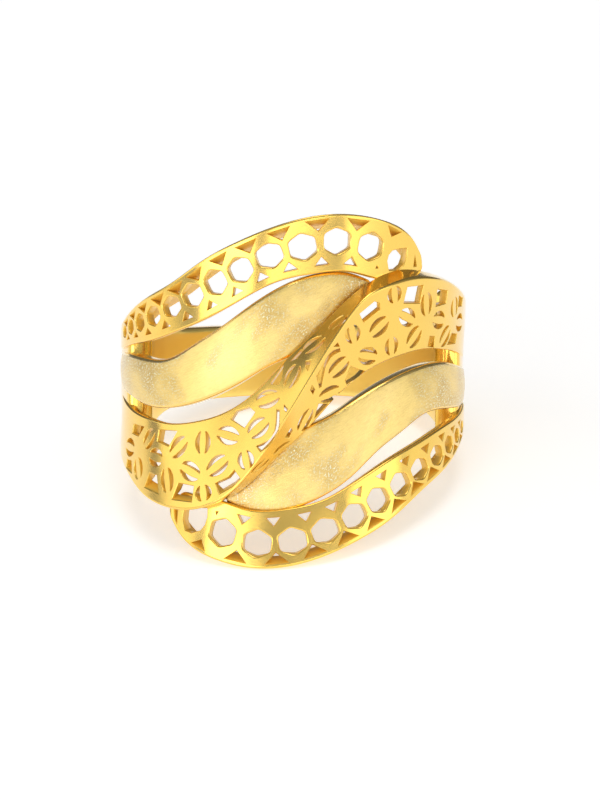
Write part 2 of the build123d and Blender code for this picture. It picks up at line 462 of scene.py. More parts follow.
def mesh_of(name: str, points: Array, faces: Iterable[Sequence[int]]) -> bpy.types.Mesh:
    """A checked mesh of these points and faces.

    Args:
        name: the mesh's name.
        points: an (n, 3) array.
        faces: the faces' corners, counted from nought.

    Returns:
        The mesh, shaded smooth.
    """
    mesh = bpy.data.meshes.new(name)
    mesh.from_pydata(points.tolist(), [], [tuple(face) for face in faces])
    mesh.validate()
    mesh.polygons.foreach_set("use_smooth", [True] * len(mesh.polygons))
    mesh.update()
    return mesh


def read(items: Sequence, name: str, width: int = 1, kind: type = float) -> Array:
    """One property of a mesh's vertices, faces or corners.

    Args:
        items: all of the vertices, faces or corners.
        name: the property's name.
        width: how many numbers it has.
        kind: their type.

    Returns:
        One number, or one row of them, for each item.
    """
    values = np.empty(len(items) * width, kind)
    items.foreach_get(name, values)
    return values.reshape(-1, width) if width > 1 else values


def mark(mesh: bpy.types.Mesh, name: str, values: Sequence[float], domain: str = "POINT") -> None:
    """Keeps a number for each of a mesh's points, or corners, under a name."""
    mesh.attributes.new(name, "FLOAT", domain).data.foreach_set("value", values)


def tube_faces(columns: int, around: int) -> list[tuple[int, ...]]:
    """Faces of a row of closed loops, with both ends shut.

    Args:
        columns: how many loops there are.
        around: how many points each loop has.

    Returns:
        The faces, for points that follow each other loop by loop.
    """
    faces: list[tuple[int, ...]] = []
    for i in range(columns - 1):
        here, there = i * around, (i + 1) * around
        for j in range(around):
            k = (j + 1) % around
            faces.append((here + j, there + j, there + k, here + k))
    faces.append(tuple(range(around)))
    faces.append(tuple(reversed(range((columns - 1) * around, columns * around))))
    return faces


class Finish(Enum):
    """The ring's finishes."""

    POLISHED = "polished gold"
    # Paler gold for the ring's inside: its colour is painted light on the shaded inside.
    LINING = "lining gold"
    SATIN = "satin gold"


class Wiring:
    """Small helpers that lay out one node tree from left to right."""

    STEP = 200

    def __init__(self, tree: bpy.types.NodeTree) -> None:
        """Starts with an empty tree.

        Args:
            tree: the node tree to fill.
        """
        self.tree = tree
        tree.nodes.clear()

    @classmethod
    def of_material(cls, name: str) -> tuple[bpy.types.Material, "Wiring"]:
        """A new material.

        Args:
            name: what it is.

        Returns:
            The material, and the wiring of its empty tree.
        """
        material = bpy.data.materials.new(name.replace(" ", "_"))
        material.use_nodes = True
        return material, cls(material.node_tree)

    def add(self, kind: str, **settings: object) -> bpy.types.Node:
        """A new node of a kind, with its properties and inputs set.

        Args:
            kind: Blender's name for the node's type.
            settings: properties by name, and inputs by name with an underscore for a
                space, or as in_0 for the first one. A socket as value is linked.

        Returns:
            The node.
        """
        node = self.tree.nodes.new(kind)
        node.location = (self.STEP * len(self.tree.nodes), 0)
        for key, value in settings.items():
            if key.startswith("in_"):
                target = node.inputs[int(key[3:])]
            elif hasattr(node, key):
                setattr(node, key, value)
                continue
            else:
                target = node.inputs[key.replace("_", " ")]
            if isinstance(value, Socket):
                self.tree.links.new(value, target)
            else:
                target.default_value = value
        return node

    def math(self, operation: str, *values: object, clamp: bool = False) -> Socket:
        """The result of a Math node.

        Args:
            operation: Blender's name for the operation.
            values: numbers, or sockets to link, in the order of the inputs.
            clamp: whether the result stays between nought and one.

        Returns:
            The node's output.
        """
        inputs = {f"in_{i}": value for i, value in enumerate(values)}
        return self.add("ShaderNodeMath", operation=operation, use_clamp=clamp, **inputs).outputs[0]

    def ramp(self, value: object, start: float, stop: float, low: object = 0.0, high: object = 1.0) -> Socket:
        """A value carried over from one range to another and held within it.

        Args:
            value: the number or socket to carry over.
            start: where its range starts.
            stop: where its range stops.
            low: the result at the start.
            high: the result at the stop.

        Returns:
            The node's output.
        """
        node = self.add("ShaderNodeMapRange", in_0=value, in_1=start, in_2=stop, in_3=low, in_4=high)
        return node.outputs[0]

    def noise(self, place: Socket, scale: object, detail: float, roughness: float) -> Socket:
        """A noise of values round one half.

        Args:
            place: the coordinates that it follows.
            scale: how fine it is.
            detail: how many finer layers it has.
            roughness: how strong those are.

        Returns:
            The node's values.
        """
        node = self.add("ShaderNodeTexNoise", Vector=place, Scale=scale, Detail=detail, Roughness=roughness)
        return node.outputs["Fac"]

    def mix(self, share: Socket, first: object, second: object) -> Socket:
        """A mix of two colours.

        Args:
            share: how much of the second colour it holds.
            first: the first colour.
            second: the second colour.

        Returns:
            The mixed colour.
        """
        node = self.add("ShaderNodeMix", data_type="RGBA", Factor=share, A=first, B=second)
        return next(socket for socket in node.outputs if socket.type == "RGBA")

    def bump(self, strength: float, distance: float, height: Socket) -> Socket:
        """The directions of a surface that has this relief."""
        return self.add("ShaderNodeBump", Strength=strength, Distance=distance, Height=height).outputs[0]

    def surface(self, **settings: object) -> None:
        """Ends a material's tree with a shader, set as add sets a node."""
        shader = self.add("ShaderNodeBsdfPrincipled", **settings)
        self.add("ShaderNodeOutputMaterial", Surface=shader.outputs[0])

    def attribute(self, name: str) -> Socket:
        """The values of one of the mesh's own attributes."""
        return self.add("ShaderNodeAttribute", attribute_name=name).outputs["Fac"]


class MetalWear:
    """A shader group for the faint marks that any polished gold has.

    It puts out a waviness and a height, from Object coordinates. The height holds
    FINE_SHARE of the finer marks.
    """

    FINE_SHARE = 0.25

    def __init__(self) -> None:
        """Builds the group once."""
        group = bpy.data.node_groups.new("metal_wear", "ShaderNodeTree")
        face = group.interface
        for way, names in (("INPUT", ("Scale", "Fineness")), ("OUTPUT", ("Mask", "Height"))):
            for name in names:
                face.new_socket(name, in_out=way, socket_type="NodeSocketFloat")
        wires = Wiring(group)
        entry = wires.add("NodeGroupInput")
        place = wires.add("ShaderNodeTexCoord").outputs["Object"]
        broad = wires.noise(place, entry.outputs["Scale"], detail=2.0, roughness=0.5)
        finer = wires.math("MULTIPLY", entry.outputs["Scale"], entry.outputs["Fineness"])
        fine = wires.noise(place, finer, detail=3.0, roughness=0.6)
        height = wires.math("MULTIPLY_ADD", fine, self.FINE_SHARE, broad)
        wires.add("NodeGroupOutput", Mask=broad, Height=height)
        self.group = group

    def place(self, wires: Wiring, scale: float, fineness: float) -> tuple[Socket, Socket]:
        """The group as a node of a material.

        Args:
            wires: the material's wiring.
            scale: how many marks there are to a metre.
            fineness: how much finer the second marks are.

        Returns:
            The waviness and the height.
        """
        node = wires.add("ShaderNodeGroup", node_tree=self.group, Scale=scale, Fineness=fineness)
        return node.outputs["Mask"], node.outputs["Height"]


@dataclass(frozen=True)
class PolishedGold:
    """Bright yellow gold with the slight waviness of hand polishing.

    The walls of its openings and the inside faces of pierced sheet, marked by the
    attribute "cut", are rougher and less metallic, as no polishing cloth reaches them,
    and are painted a slightly paler gold: painted light that brightens the shaded
    walls and insides of the openings.
    """

    name: Finish = Finish.POLISHED
    color: Color = (1.0, 0.65, 0.07, 1.0)
    deep: Color = (0.92, 0.56, 0.045, 1.0)
    # Paler gold painted on cut walls and inside faces: painted light in the shaded openings.
    sawn_painted_light: Color = (1.0, 0.66, 0.09, 1.0)
    smoothest: float = 0.13
    roughest: float = 0.24
    wavy: tuple[float, float] = (0.3, 0.75)
    sawn_roughness: float = 0.45
    sawn_metal: float = 0.5
    gloss: float = 0.9
    gloss_ior: float = 1.9
    marks: float = 420.0
    fineness: float = 7.0
    relief: float = 0.07
    relief_depth: float = 0.0001

    def build(self, wear: MetalWear) -> bpy.types.Material:
        """The material.

        Args:
            wear: the shared group of marks.

        Returns:
            A new material of polished gold.
        """
        material, wires = Wiring.of_material(self.name.value)
        waviness, height = wear.place(wires, self.marks, self.fineness)
        cut = wires.attribute("cut")
        polish = wires.ramp(waviness, *self.wavy, self.smoothest, self.roughest)
        wires.surface(
            # Cut walls and inside faces take the paler gold: painted light in the shaded openings.
            Base_Color=wires.mix(cut, wires.mix(waviness, self.color, self.deep), self.sawn_painted_light),
            Metallic=wires.ramp(cut, 0.0, 1.0, 1.0, self.sawn_metal),
            Roughness=wires.ramp(cut, 0.0, 1.0, polish, self.sawn_roughness),
            Normal=wires.bump(self.relief, self.relief_depth, height),
            Coat_Weight=self.gloss,
            Coat_IOR=self.gloss_ior,
            Coat_Roughness=self.roughest,
        )
        return material


# Rougher, paler gold for the faces that look at the finger: the paler colour is painted light that brightens
# the shaded inside of the ring.
PAINTED_LIGHT_INSIDE_GOLD = PolishedGold(
    name=Finish.LINING,
    color=(1.0, 0.76, 0.16, 1.0),
    deep=(1.0, 0.71, 0.12, 1.0),
    smoothest=0.3,
    roughest=0.4,
)


@dataclass(frozen=True)
class SatinGold:
    """Brushed gold: a fine grain, a deeper gold towards the ribbon's ends where the
    flecks cluster, partly painted shade, flecks that carry painted glints, and
    polished borders painted a deeper gold as painted shade."""

    color: Color = (1.0, 0.73, 0.21, 1.0)
    deep: Color = (0.66, 0.42, 0.08, 1.0)
    # Near-white colour of the flecks: painted glints.
    painted_glint: Color = (1.0, 0.98, 0.72, 1.0)
    # Deeper gold of the polished borders: painted shade along the edges.
    border_painted_shade: Color = (0.94, 0.66, 0.16, 1.0)
    roughness: float = 0.30
    polish: float = 0.12
    border: float = 0.14
    border_fade: float = 1.5
    grain: float = 9.0
    grain_stretch: float = 4.0
    grain_relief: float = 0.5
    grain_depth: float = 0.00006
    clouds: float = 0.9
    cloud_share: float = 0.5
    cloud_range: tuple[float, float] = (0.66, 0.92)
    cloud_shade: float = 0.35
    # Size and share of the flecks, which carry painted glints.
    flecks: float = 9.0
    fleck_range: tuple[float, float] = (0.555, 0.59)
    fleck_relief: float = 0.9
    clusters: float = 0.45
    cluster_range: tuple[float, float] = (0.60, 0.88)
    # How much deeper the gold is where flecks cluster: partly painted shade.
    cluster_painted_shade: float = 0.65
    gloss: float = 0.8
    gloss_ior: float = 1.8
    reach: float = 16.0
    # How the deeper gold runs along the ribbon, strongest at its ends: partly painted shade where the ends
    # turn away from the light, partly the flecks' clusters.
    painted_shade_share: float = 0.3
    painted_shade_and_clusters: tuple[tuple[float, float], ...] = (
        (-11.0, 1.0), (-8.5, 0.75), (-6.5, 0.1), (-4.0, 0.1),
        (-2.0, 0.62), (1.5, 0.62), (3.2, 0.85), (8.0, 0.6),
    )

    def painted_shade_along(self, wires: Wiring, along: Socket) -> Socket:
        """How much deeper the gold is from end to end, partly painted shade at the ends.

        Args:
            wires: the material's wiring.
            along: the ribbon's UV map, whose X runs along it in millimetres.

        Returns:
            The wear, from the table of places and shares.
        """
        axes = wires.add("ShaderNodeSeparateXYZ", in_0=along)
        ramp = wires.add("ShaderNodeValToRGB", in_0=wires.ramp(axes.outputs["X"], -self.reach, self.reach))
        stops = ramp.color_ramp.elements
        stops.remove(stops[1])
        for at, share in self.painted_shade_and_clusters:
            stop = stops.new(0.5 + 0.5 * at / self.reach)
            stop.color = (share, share, share, 1.0)
        stops[0].color = stops[1].color
        return ramp.outputs[0]

    def build(self) -> bpy.types.Material:
        """The material.

        Returns:
            A new material of brushed gold, whose pattern follows the ribbon's UV map.
        """
        material, wires = Wiring.of_material(Finish.SATIN.value)
        along = wires.add("ShaderNodeUVMap", uv_map="ribbon").outputs[0]
        stretched = wires.add("ShaderNodeMapping", Vector=along, Scale=(1 / self.grain_stretch, 1.0, 1.0))
        lines = wires.noise(stretched.outputs[0], self.grain, detail=4.0, roughness=0.75)
        clouds = wires.noise(along, self.clouds, detail=3.0, roughness=0.6)
        specks = wires.noise(along, self.flecks, detail=2.0, roughness=0.7)
        groups = wires.noise(along, self.clusters, detail=1.0, roughness=0.5)
        painted_shade_and_clusters = wires.math("MULTIPLY_ADD", self.painted_shade_along(wires, along), self.painted_shade_share, groups)
        # Where flecks cluster and the ends darken: partly painted shade.
        clustered_flecks_and_shade = wires.ramp(painted_shade_and_clusters, *self.cluster_range)
        # The flecks' mask, where the painted glints go.
        bright = wires.math("MULTIPLY", wires.ramp(specks, *self.fleck_range), clustered_flecks_and_shade)
        uneven = wires.math("MULTIPLY_ADD", clouds, self.cloud_share, lines)
        shade = wires.ramp(uneven, *self.cloud_range, 0.0, self.cloud_shade)
        # A deeper gold by random cloudiness, where the flecks cluster and at the ends: partly painted shade.
        tone_and_painted_shade = wires.math("MULTIPLY_ADD", clustered_flecks_and_shade, self.cluster_painted_shade, shade, clamp=True)
        brushed = wires.ramp(wires.attribute("border"), self.border, self.border_fade * self.border)
        # The flecks take the near-white colour of painted glints.
        satin = wires.mix(bright, wires.mix(tone_and_painted_shade, self.color, self.deep), self.painted_glint)
        relief = wires.math("MULTIPLY_ADD", bright, self.fleck_relief, lines)
        height = wires.math("MULTIPLY", brushed, relief)
        wires.surface(
            # The polished borders take the deeper gold: painted shade along the edges.
            Base_Color=wires.mix(brushed, self.border_painted_shade, satin),
            Metallic=1.0,
            Roughness=wires.ramp(brushed, 0.0, 1.0, self.polish, self.roughness),
            Normal=wires.bump(self.grain_relief, self.grain_depth, height),
            Coat_Weight=self.gloss,
            Coat_IOR=self.gloss_ior,
            Coat_Roughness=self.roughness,
        )
        return material


@dataclass(frozen=True)
class Finishes:
    """The finished materials, by what they are."""

    polished: bpy.types.Material
    # Paler gold of the ring's inside, whose colour is painted light.
    lining: bpy.types.Material
    satin: bpy.types.Material


def hand_over(piece: bpy.types.Object) -> bpy.types.Object:
    """Lets a piece ride with the ring and stand for its node.

    Args:
        piece: the finished object.

    Returns:
        The same object.
    """
    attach(piece, BODY)
    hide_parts(CAD_NODE)
    return piece


class OpeningShape:
    """The outlines of one kind of opening, cut with rounded rims.

    RIM holds heights over the plate's outside with how far the outline grows there,
    both as shares of the rounding; BACK the same over the inside, in millimetres.
    A sharp corner moves no further than SHARPEST times its sides.
    """

    RIM = ((3.5, 1.0), (0.0, 1.0), (-0.35, 0.45), (-0.85, 0.12), (-1.5, 0.0))
    BACK = ((0.06, 0.0), (0.0, 0.03), (-0.25, 0.03))
    SHARPEST = 1.7

    def __init__(self, outlines: Sequence[Array], wall: float, rounding: float) -> None:
        """Keeps the outlines and the depth that they cut.

        Args:
            outlines: closed outlines in the chart, anticlockwise.
            wall: the plate's thickness.
            rounding: how far the rims' rounding reaches out on the surface.
        """
        self.outlines = outlines
        self.wall = wall
        self.rounding = rounding

    @classmethod
    def grown(cls, outline: Array, by: float) -> Array:
        """An outline moved outwards, with its sharp corners held back.

        Args:
            outline: the closed outline, anticlockwise.
            by: how far each side moves.

        Returns:
            The larger outline.
        """
        before = outline - np.roll(outline, 1, axis=0)
        after = np.roll(outline, -1, axis=0) - outline
        out_before = unit(np.column_stack([before[:, 1], -before[:, 0]]))
        out_after = unit(np.column_stack([after[:, 1], -after[:, 0]]))
        middle = out_before + out_after
        reach = 2 / np.maximum((middle**2).sum(axis=1), (2 / cls.SHARPEST) ** 2)
        return outline + by * middle * reach[:, None]

    def mesh(self, name: str) -> bpy.types.Mesh:
        """The closed cutter of all outlines.

        Args:
            name: the mesh's name.

        Returns:
            The cutter, from above the plate to below it.
        """
        levels = [(h * self.rounding, grow * self.rounding) for h, grow in self.RIM]
        levels += [(h - self.wall, grow) for h, grow in self.BACK]
        points: list[Array] = []
        faces: list[tuple[int, ...]] = []
        start = 0
        for outline in self.outlines:
            for height, grow in levels:
                ring = self.grown(outline, grow)
                points.append(np.column_stack([ring, np.full(len(ring), height)]))
            for face in tube_faces(len(levels), len(outline)):
                faces.append(tuple(start + corner for corner in face))
            start += len(levels) * len(outline)
        return mesh_of(name, np.vstack(points), faces)


def hexagon() -> Array:
    """A hexagon that points up and down.

    Returns:
        Its corners, anticlockwise, one wide and one high.
    """
    turn = np.radians(90 + np.arange(6) * 60)
    shape = np.column_stack([np.cos(turn), np.sin(turn)])
    return shape / (shape.max(axis=0) - shape.min(axis=0))


def anticlockwise(outline: Array) -> Array:
    """An outline, turned round where that is needed.

    Args:
        outline: a closed outline.

    Returns:
        The same outline, going anticlockwise.
    """
    x, y = outline.T
    area = (x * np.roll(y, -1) - np.roll(x, -1) * y).sum()
    return outline if area > 0 else outline[::-1]


def filleted(outline: Array, cut: float, steps: int = 3) -> Array:
    """An outline whose corners are rounded.

    Args:
        outline: the corners' places.
        cut: how far from each corner its rounding starts.
        steps: how many points each corner gets.

    Returns:
        The rounded outline.
    """
    before = unit(np.roll(outline, 1, axis=0) - outline) * cut
    after = unit(np.roll(outline, -1, axis=0) - outline) * cut
    points = []
    for corner, back, ahead in zip(outline, before, after):
        for t in np.linspace(0, 1, steps):
            points.append(corner + (1 - t) ** 2 * back + t**2 * ahead)
    return np.array(points)


@dataclass(frozen=True)
class Petal:
    """The two slots beside a petal's leaf, before it is placed and scaled."""

    length: float = 1.4
    leaf_half: float = 0.26
    slot_reach: float = 0.56
    leaf_end: float = 0.72
    slot_end: float = 0.98
    fullness: float = 0.85
    points: int = 9

    def slot(self, side: int) -> Array:
        """One of the two slots.

        Args:
            side: 1 for the slot above the leaf, -1 for the one below.

        Returns:
            Its anticlockwise outline.
        """
        x = np.linspace(-1, 1, self.points)
        inside = self.leaf_half
        near, far = self.leaf_end * inside, self.slot_end * inside
        lower = np.column_stack([x * self.length / 2, near + (inside - near) * (1 - x**2)])
        bulge = far + (self.slot_reach - far) * (1 - x**2) ** self.fullness
        upper = np.column_stack([x * self.length / 2, bulge])[::-1]
        outline = np.vstack([lower, upper])
        return outline if side > 0 else (outline * np.array([1.0, -1.0]))[::-1]


class Spot(NamedTuple):
    """Where an opening goes in the chart, how it is turned and how large it is."""

    x: float
    y: float
    turn: float
    length: float
    breadth: float


class Piercing:
    """A Geometry Nodes tree that cuts one kind of opening out of a flat plate."""

    LENGTHWISE = 1.0
    CROSSWISE = 1.0

    def __init__(self) -> None:
        """Builds the tree once, for every plate."""
        tree = bpy.data.node_groups.new("piercing", "GeometryNodeTree")
        face = tree.interface
        face.new_socket("Geometry", in_out="INPUT", socket_type="NodeSocketGeometry")
        self.inputs = {
            name: face.new_socket(name, in_out="INPUT", socket_type=kind).identifier
            for name, kind in (
                ("Spots", "NodeSocketObject"),
                ("Opening", "NodeSocketObject"),
                ("Windows", "NodeSocketObject"),
                ("Lengthwise", "NodeSocketFloat"),
                ("Crosswise", "NodeSocketFloat"),
                ("Metal", "NodeSocketMaterial"),
            )
        }
        face.new_socket("Geometry", in_out="OUTPUT", socket_type="NodeSocketGeometry")
        wires = Wiring(tree)
        entry = wires.add("NodeGroupInput").outputs
        spots, opening, windows = (
            wires.add("GeometryNodeObjectInfo", Object=entry[name]).outputs["Geometry"]
            for name in ("Spots", "Opening", "Windows")
        )
        turn, length, breadth = (
            wires.add("GeometryNodeInputNamedAttribute", data_type="FLOAT", Name=name).outputs["Attribute"]
            for name in ("turn", "length", "breadth")
        )
        lengthwise = wires.math("MULTIPLY", length, entry["Lengthwise"])
        crosswise = wires.math("MULTIPLY", breadth, entry["Crosswise"])
        scale = wires.add("ShaderNodeCombineXYZ", X=lengthwise, Y=crosswise, Z=1.0)
        angles = wires.add("ShaderNodeCombineXYZ", Z=turn)
        rotation = wires.add("FunctionNodeEulerToRotation", in_0=angles.outputs[0])
        stamp = wires.add(
            "GeometryNodeInstanceOnPoints",
            Points=spots,
            Instance=opening,
            Rotation=rotation.outputs[0],
            Scale=scale.outputs[0],
        )
        real = wires.add("GeometryNodeRealizeInstances", in_0=stamp.outputs[0])
        cut = wires.add("GeometryNodeMeshBoolean", operation="DIFFERENCE", solver="MANIFOLD")
        tree.links.new(entry["Geometry"], cut.inputs["Mesh 1"])
        for cutter in (real.outputs[0], windows):
            tree.links.new(cutter, cut.inputs["Mesh 2"])
        whole = wires.add("GeometryNodeRealizeInstances", in_0=cut.outputs["Mesh"])
        metal = wires.add("GeometryNodeSetMaterial", Geometry=whole.outputs[0], Material=entry["Metal"])
        wires.add("NodeGroupOutput", in_0=metal.outputs[0])
        self.tree = tree

    def cut(
        self,
        plate: bpy.types.Mesh,
        spots: Sequence[Spot],
        opening: bpy.types.Mesh,
        windows: bpy.types.Mesh,
        metal: bpy.types.Material,
    ) -> bpy.types.Mesh:
        """The plate with its openings cut.

        Args:
            plate: the closed flat plate.
            spots: where the repeated opening goes.
            opening: the repeated opening's cutter.
            windows: the cutter of the openings that don't repeat.
            metal: the plate's finish.

        Returns:
            The cut plate as a plain mesh.
        """
        marks = bpy.data.meshes.new("spots")
        marks.from_pydata([(spot.x, spot.y, 0.0) for spot in spots], [], [])
        for name in ("turn", "length", "breadth"):
            mark(marks, name, [getattr(spot, name) for spot in spots])
        things = [link(thing.name, thing) for thing in (plate, marks, opening, windows)]
        modifier = things[0].modifiers.new("piercing", "NODES")
        modifier.node_group = self.tree
        for name, value in zip(self.inputs, (*things[1:], self.LENGTHWISE, self.CROSSWISE, metal)):
            modifier[self.inputs[name]] = value
        graph = bpy.context.evaluated_depsgraph_get()
        graph.update()
        cut = bpy.data.meshes.new_from_object(things[0].evaluated_get(graph))
        for thing in things:
            bpy.data.objects.remove(thing)
        return cut


class FoldedStrip:
    """A strip of sheet gold round the finger, folded along one line.

    Its chart is the flat plate that is pierced before it is bent: X runs round the
    finger, Y across the strip, level with the fold's own height, and Z is nought on
    the outside and minus the wall on the inside. CORNER rounds the plate's edges,
    EDGE is how far from them no face counts as a cut wall, with the cut walls' rougher
    finish and painted light, COLUMN is the plate's mesh width, and its last END_WIDTHS
    columns are made closer towards the end. The heart's pull fades at HEART_BLEND times
    its reach, and BLUNTEST keeps it near a sharp fold. STEP is the step over which a
    facing is measured. A face of the plate is level past FLAT, and an inside one past
    INSIDE, and faces that meet at more than SHARP show a hard edge.
    """

    CORNER = 0.13
    CORNER_STEPS = 3
    EDGE = 0.15
    FOLD_ROWS = 5
    COLUMN = 0.17
    END_COLUMNS = 14
    END_WIDTHS = 5
    HEART_BLEND = 1.8
    BLUNTEST = 0.35
    STEP = 1e-3
    FLAT = 0.995
    INSIDE = -0.5
    SHARP = math.radians(42)

    def __init__(
        self,
        angles: Sequence[float],
        low: Array,
        fold: Array,
        high: Array,
        wall: float,
        wall_above: float,
        chart_radius: float,
        fold_round: float,
        rows: tuple[int, int],
    ) -> None:
        """Keeps the strip's sections.

        Args:
            angles: the sections' places, in degrees.
            low: radius and height of the lower edge at each.
            fold: the same for the fold.
            high: the same for the upper edge.
            wall: the sheet's thickness below the fold.
            wall_above: its thickness above the fold.
            chart_radius: the radius at which the chart's X is measured.
            fold_round: how far from the fold its rounding starts.
            rows: how many rows of faces lie below and above the fold.
        """
        self.first, self.last = angles[0], angles[-1]
        self.table = SmoothTable(angles, np.hstack([low, fold, high]))
        self.wall = wall
        self.wall_above = wall_above
        self.chart_radius = chart_radius
        self.fold_round = fold_round
        self.rows = rows

    def x_of(self, angle: float) -> float:
        """The chart's X at an angle round the finger."""
        return self.chart_radius * math.radians(angle)

    def sections(self, x: Array) -> tuple[Array, Array, Array]:
        """The lower edge, fold and upper edge at these chart places."""
        row = self.table(np.degrees(np.asarray(x) / self.chart_radius))
        return row[:, 0:2], row[:, 2:4], row[:, 4:6]

    def spans(self, x: Array) -> tuple[Array, Array, Array]:
        """How wide the strip is.

        Args:
            x: chart places along it.

        Returns:
            The fold's height and the widths below and above it at these places.
        """
        low, fold, high = self.sections(x)
        below = np.linalg.norm(low - fold, axis=1)
        above = np.linalg.norm(high - fold, axis=1)
        return fold[:, 1], below, above

    def bent(self, points: Array) -> Array:
        """Chart points, bent round the finger.

        The outside follows the section's two sides, with an arc at the fold. The
        inside runs through the heart, where the two inner sides meet, and nears its
        true distance from the fold a little way off.

        Args:
            points: an (n, 3) array of chart places.

        Returns:
            Upright points in millimetres.
        """
        x, y, z = points.T
        low, fold, high = self.sections(x)
        down, up = unit(low - fold), unit(high - fold)
        along = y - fold[:, 1]
        upper = (along >= 0)[:, None]
        way = np.where(upper, up, down)
        reach = np.abs(along)[:, None]
        outer = fold + way * reach
        near = self.fold_round
        t = np.clip((along + near) / (2 * near), 0, 1)[:, None]
        arc = (1 - t) ** 2 * (fold + down * near) + 2 * t * (1 - t) * fold + t**2 * (fold + up * near)
        outer = np.where(reach < near, arc, outer)
        in_low = np.column_stack([down[:, 1], -down[:, 0]])
        in_high = np.column_stack([-up[:, 1], up[:, 0]])
        alike = (in_low * in_high).sum(axis=1)[:, None]
        mean, more = (self.wall + self.wall_above) / 2, (self.wall - self.wall_above) / 2
        heart = fold + (in_low + in_high) * mean / np.maximum(1 + alike, self.BLUNTEST)
        heart += (in_low - in_high) * more / np.maximum(1 - alike, self.BLUNTEST)
        wall = np.where(upper, self.wall_above, self.wall)
        inward = np.where(upper, in_high, in_low)
        heart_reach = ((heart - fold) * way).sum(axis=1)[:, None]
        blend = np.maximum(self.HEART_BLEND * heart_reach, near)
        eased = heart_reach + (blend - heart_reach) * reach / blend
        inner = fold + inward * wall + way * np.where(reach < blend, eased, reach)
        depth = (-z / self.wall)[:, None]
        place = outer + (inner - outer) * depth
        return on_ring(np.degrees(x / self.chart_radius), place[:, 0], place[:, 1])

    def facing(self, points: Array) -> Array:
        """The outward directions of the bent plate.

        Args:
            points: an (n, 3) array of chart places.

        Returns:
            An (n, 3) array of directions on the upright ring.
        """
        around, across = (
            self.bent(points + step) - self.bent(points - step) for step in np.eye(3)[:2] * self.STEP
        )
        return unit(np.cross(around, across))

    def plate(self, name: str) -> bpy.types.Mesh:
        """The flat plate with rounded edges, not yet pierced.

        Args:
            name: the mesh's name.

        Returns:
            The closed mesh, in the chart.
        """
        x0, x1 = self.x_of(self.first), self.x_of(self.last)
        columns = np.linspace(x0, x1, int((x1 - x0) / self.COLUMN))
        start = columns[-self.END_WIDTHS]
        last = start + (x1 - start) * np.sin(np.linspace(0, np.pi / 2, self.END_COLUMNS))
        columns = np.concatenate([columns[: -self.END_WIDTHS], last])
        fold, below, above = self.spans(columns)
        near, corner = self.fold_round, self.CORNER
        share_low = np.linspace(0, 1, self.rows[0])
        share_high = np.linspace(0, 1, self.rows[1])
        middle = np.linspace(-near, near, self.FOLD_ROWS)[1:-1]
        turn = np.radians(np.linspace(90, -90, 2 * self.CORNER_STEPS + 1))[1:-1]
        points = []
        for i, x in enumerate(columns):
            low_run = -below[i] + corner + share_low * (below[i] - corner - near)
            high_run = near + share_high * (above[i] - corner - near)
            run = np.concatenate([low_run, middle, high_run])
            top = np.column_stack([run, np.zeros_like(run)])
            straight = self.wall - 2 * corner
            dip = np.where(np.sin(turn) >= 0, 0, straight)
            cap = np.column_stack([corner * np.cos(turn), corner * np.sin(turn) - corner - dip])
            right = cap + np.array([above[i] - corner, 0])
            left = (cap * np.array([-1, 1]))[::-1] - np.array([below[i] - corner, 0])
            under = np.column_stack([run[::-1], np.full_like(run, -self.wall)])
            across, depth = np.vstack([top, right, under, left]).T
            points.append(np.column_stack([np.full(len(across), x), fold[i] + across, depth]))
        faces = tube_faces(len(columns), len(points[0]))
        return mesh_of(name, np.vstack(points), faces)

    def wrap(self, mesh: bpy.types.Mesh, side: Side) -> None:
        """Bends a pierced plate round the finger, with true normals on its faces.

        The attribute "cut" marks the cut walls and the inside faces, which get a rougher finish and a paler
        gold painted on as painted light.

        Args:
            mesh: the flat mesh, changed in place.
            side: whether it is the drawn ribbon or its half turn.
        """
        flat = read(mesh.vertices, "co", 3)
        level = read(mesh.polygons, "normal", 3)[:, 2]
        corner_level = np.repeat(level, read(mesh.polygons, "loop_total", kind=int))
        corners = read(mesh.loops, "vertex_index", kind=int)
        fold, below, above = self.spans(flat[:, 0])
        rim = np.minimum(flat[:, 1] - fold + below, fold + above - flat[:, 1])
        # Cut walls and inside faces, away from the plate's edges: where the rougher finish and the paler gold
        # of painted light go.
        sawn_painted_light = np.where(rim[corners] > self.EDGE, 1 - np.abs(corner_level), 0.0)
        sawn_painted_light = np.where(corner_level < self.INSIDE, 1.0, sawn_painted_light)
        mark(mesh, "cut", sawn_painted_light, "CORNER")
        outward = self.facing(flat)
        bent = self.bent(flat)
        if side is Side.LOWER:
            bent, outward = half_turned(bent), half_turned(outward)
        bent, outward = RESTING.lay(bent), RESTING.turn(outward)
        sign = np.where(np.abs(corner_level) > self.FLAT, np.sign(corner_level), 0.0)
        normals = outward[corners] * sign[:, None]
        mesh.vertices.foreach_set("co", bent.ravel())
        mesh.polygons.foreach_set("use_smooth", [True] * len(mesh.polygons))
        mesh.update()
        mesh.set_sharp_from_angle(angle=self.SHARP)
        mesh.normals_split_custom_set(normals.tolist())
        mesh.update()


